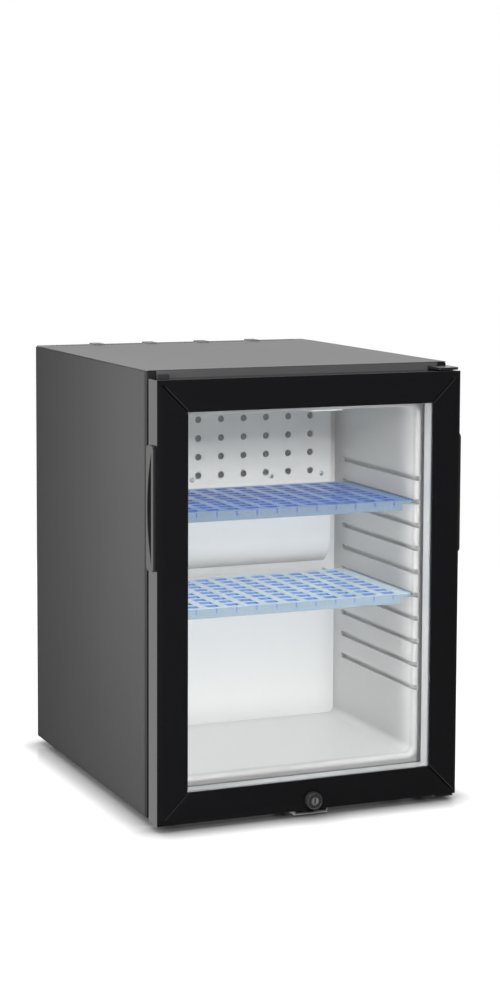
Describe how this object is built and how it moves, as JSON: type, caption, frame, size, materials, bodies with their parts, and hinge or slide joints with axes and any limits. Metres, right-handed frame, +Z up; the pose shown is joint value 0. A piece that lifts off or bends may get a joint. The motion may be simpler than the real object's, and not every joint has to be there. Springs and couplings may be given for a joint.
{
  "type": "minibar fridge",
  "caption": "Small black hotel minibar fridge with a hinged glass door, finger grips, a cam lock, sliding shelves and an absorption cooling unit behind.",
  "frame": {"origin": "floor level, midway across the width and midway along the depth from lock front to cabinet back", "axes": "+Z up, -Y is the way the door faces, +X to the right seen from the front"},
  "size_m": [0.412, 0.488, 0.5578],
  "materials": {
    "cabinet_coat": "satin charcoal powder coat",
    "galvanised_steel": "galvanised",
    "foam": null,
    "liner_white": "satin white",
    "trim_black": "moulded black",
    "bracket_black": "black coated",
    "bright_steel": "zinc plated",
    "lock_chrome": "satin plated",
    "door_black": "gloss black",
    "grip_black": "fine texture",
    "clear_glass": "clear",
    "spacer_silver": "satin",
    "gasket_grey": "matt",
    "cover_white": "satin white",
    "spacer_white": "moulded",
    "shelf_blue": "translucent blue",
    "lamp_lens_clear": "frosted",
    "unit_black": "black lacquer"
  },
  "bodies": {
    "cabinet": {"side_panel_left": "cabinet_coat", "side_panel_right": "cabinet_coat", "top_panel": "cabinet_coat", "rear_bulkhead": "cabinet_coat", "base_plate": "galvanised_steel", "unit_brackets": "galvanised_steel", "insulation_boards": "foam", "inner_liner": "liner_white", "front_frame": "liner_white", "drip_gutter": "liner_white", "lamp_housing": "liner_white", "lamp_board": "liner_white", "top_front_rail": "trim_black", "rear_vent_comb": "trim_black", "feet": "trim_black", "hinge_blank_cap": "trim_black", "condensate_cup": "trim_black", "control_box": "trim_black", "mains_inlet": "trim_black", "hinge_washers": "trim_black", "top_hinge_bracket": "bracket_black", "bottom_hinge_bracket": "bracket_black", "hinge_pins": "bright_steel", "bracket_screws": "bright_steel", "foot_screws": "bright_steel", "lock_keeper": "bright_steel", "cover_screws": "bright_steel", "heater_cartridge": "bright_steel", "evaporator": "spacer_silver", "condenser_fins": "spacer_silver", "evaporator_cover": "cover_white", "cover_spacers": "spacer_white", "drain_tube": "spacer_white", "lamp_lens": "lamp_lens_clear", "boiler_casing": "unit_black", "condenser_pipe": "unit_black", "absorber_vessel": "unit_black", "absorber_coil": "unit_black", "gas_exchanger": "unit_black", "solution_pipe": "unit_black"},
    "door": {"door_bar_left": "door_black", "door_bar_right": "door_black", "door_bar_top": "door_black", "door_bar_bottom": "door_black", "grip_left": "grip_black", "grip_right": "grip_black", "front_glass": "clear_glass", "rear_glass": "clear_glass", "glass_spacer": "spacer_silver", "glazing_bead": "trim_black", "door_gasket": "gasket_grey", "corner_keys": "trim_black", "hinge_bushes": "trim_black", "lock_housing": "lock_chrome"},
    "lock": {"lock_plug": "lock_chrome", "lock_cam": "bright_steel", "cam_screw": "bright_steel"},
    "upper_shelf_body": {"upper_shelf": "shelf_blue"},
    "lower_shelf_body": {"lower_shelf": "shelf_blue"},
    "thermostat": {"thermostat_knob": "trim_black"}
  },
  "joints": [
    {"name": "door_hinge", "type": "hinge", "parent": "cabinet", "child": "door", "pos_m": [0.19, -0.221, 0.2775], "axis": [0, 0, 1], "range_deg": [0, 110]},
    {"name": "lock_turn", "type": "hinge", "parent": "door", "child": "lock", "pos_m": [0.002, -0.22, 0.0215], "axis": [0, 1, 0], "range_deg": [0, 90]},
    {"name": "upper_shelf_slide", "type": "slide", "parent": "cabinet", "child": "upper_shelf_body", "axis": [0, -1, 0], "range_m": [0, 0.015]},
    {"name": "lower_shelf_slide", "type": "slide", "parent": "cabinet", "child": "lower_shelf_body", "axis": [0, -1, 0], "range_m": [0, 0.015]},
    {"name": "thermostat_turn", "type": "hinge", "parent": "cabinet", "child": "thermostat", "pos_m": [0.183, 0.23, 0.208], "axis": [0, 1, 0], "range_deg": [0, 270]}
  ]
}
